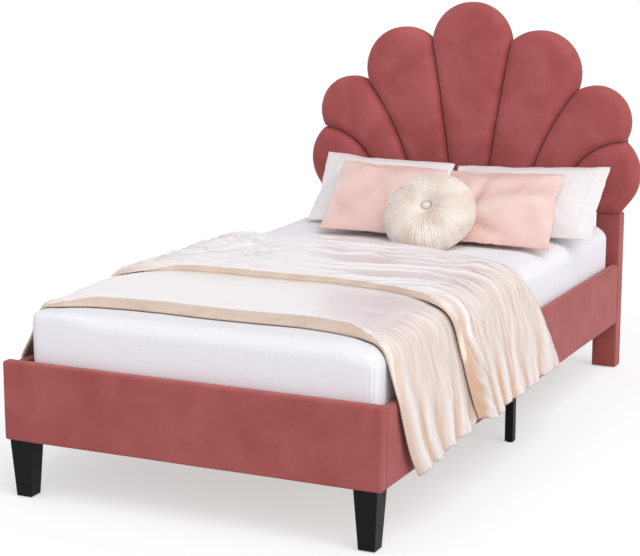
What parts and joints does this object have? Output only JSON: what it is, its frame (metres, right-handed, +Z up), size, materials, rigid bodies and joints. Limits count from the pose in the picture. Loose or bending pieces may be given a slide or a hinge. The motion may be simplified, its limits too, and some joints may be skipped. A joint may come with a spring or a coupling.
{
  "type": "upholstered bed",
  "caption": "Velvet bed with a fan of padded petals for a headboard, low upholstered rails on short tapered legs, made up with mattress, satin coverlet, pillows and a round tufted cushion.",
  "frame": {"origin": "on the floor, in the middle of the bed's width and length", "axes": "+Z up, +Y from the footboard to the headboard, +X to the right seen from the foot"},
  "size_m": [1.1646, 2.017, 1.1876],
  "materials": {
    "velvet": "dusty rose velvet with a soft sheen",
    "timber": "plain softwood, unfinished",
    "plywood": "plywood, unfinished",
    "back_cloth": "black non-woven cloth",
    "leg_black": "satin black paint",
    "steel": "zinc plated",
    "glide": "matte",
    "webbing": "woven polyester webbing",
    "mattress_ticking": "knitted ticking over foam",
    "sheet": "white cotton",
    "satin": "champagne satin",
    "white_cotton": "white cotton sateen",
    "blush_satin": "blush satin",
    "cream_velvet": "cream velvet, gathered"
  },
  "bodies": {
    "bed_frame": {"beam_cleat_foot": "timber", "beam_cleat_head": "timber", "centre_beam": "timber", "centre_leg": "leg_black", "corner_block_left": "timber", "corner_block_right": "timber", "floor_glides": "glide", "footboard_core": "timber", "footboard_cover": "velvet", "front_leg_left": "leg_black", "front_leg_right": "leg_black", "head_bracket_left": "steel", "head_bracket_right": "steel", "head_post_left": "timber", "head_post_right": "timber", "head_rail": "timber", "headboard_back_cloth": "back_cloth", "headboard_board": "plywood", "headboard_bolts": "steel", "leg_bolts": "steel", "mid_leg_glides": "glide", "mid_leg_left": "leg_black", "mid_leg_right": "leg_black", "petal_1": "velvet", "petal_2": "velvet", "petal_3": "velvet", "petal_4": "velvet", "petal_5": "velvet", "petal_6": "velvet", "petal_7": "velvet", "post_cover_left": "velvet", "post_cover_right": "velvet", "side_rail_core_left": "timber", "side_rail_core_right": "timber", "side_rail_cover_left": "velvet", "side_rail_cover_right": "velvet", "slat_01": "timber", "slat_02": "timber", "slat_03": "timber", "slat_04": "timber", "slat_05": "timber", "slat_06": "timber", "slat_07": "timber", "slat_08": "timber", "slat_09": "timber", "slat_10": "timber", "slat_11": "timber", "slat_12": "timber", "slat_ledger_left": "timber", "slat_ledger_right": "timber", "slat_straps": "webbing"},
    "mattress": {"mattress": "mattress_ticking", "fitted_sheet": "sheet"},
    "coverlet": {"coverlet": "satin"},
    "white_pillow_left": {"white_pillow_left": "white_cotton"},
    "white_pillow_right": {"white_pillow_right": "white_cotton"},
    "blush_pillow_left": {"blush_pillow_left": "blush_satin"},
    "blush_pillow_right": {"blush_pillow_right": "blush_satin"},
    "round_cushion": {"round_cushion": "cream_velvet", "cushion_buttons": "cream_velvet"}
  },
  "joints": [
    {"name": "mattress_lift", "type": "slide", "parent": "bed_frame", "child": "mattress", "axis": [0, 0, 1], "range_m": [0, 0.3]},
    {"name": "coverlet_lift", "type": "slide", "parent": "mattress", "child": "coverlet", "axis": [0, 0, 1], "range_m": [0, 0.35]},
    {"name": "white_pillow_left_slide", "type": "slide", "parent": "mattress", "child": "white_pillow_left", "axis": [-1, 0, 0], "range_m": [0, 0.55]},
    {"name": "white_pillow_right_slide", "type": "slide", "parent": "mattress", "child": "white_pillow_right", "axis": [1, 0, 0], "range_m": [0, 0.55]},
    {"name": "blush_pillow_left_slide", "type": "slide", "parent": "white_pillow_left", "child": "blush_pillow_left", "axis": [-1, 0, 0], "range_m": [0, 0.45]},
    {"name": "blush_pillow_right_slide", "type": "slide", "parent": "white_pillow_right", "child": "blush_pillow_right", "axis": [1, 0, 0], "range_m": [0, 0.45]},
    {"name": "round_cushion_lift", "type": "slide", "parent": "mattress", "child": "round_cushion", "axis": [0, 0, 1], "range_m": [0, 0.3]}
  ]
}
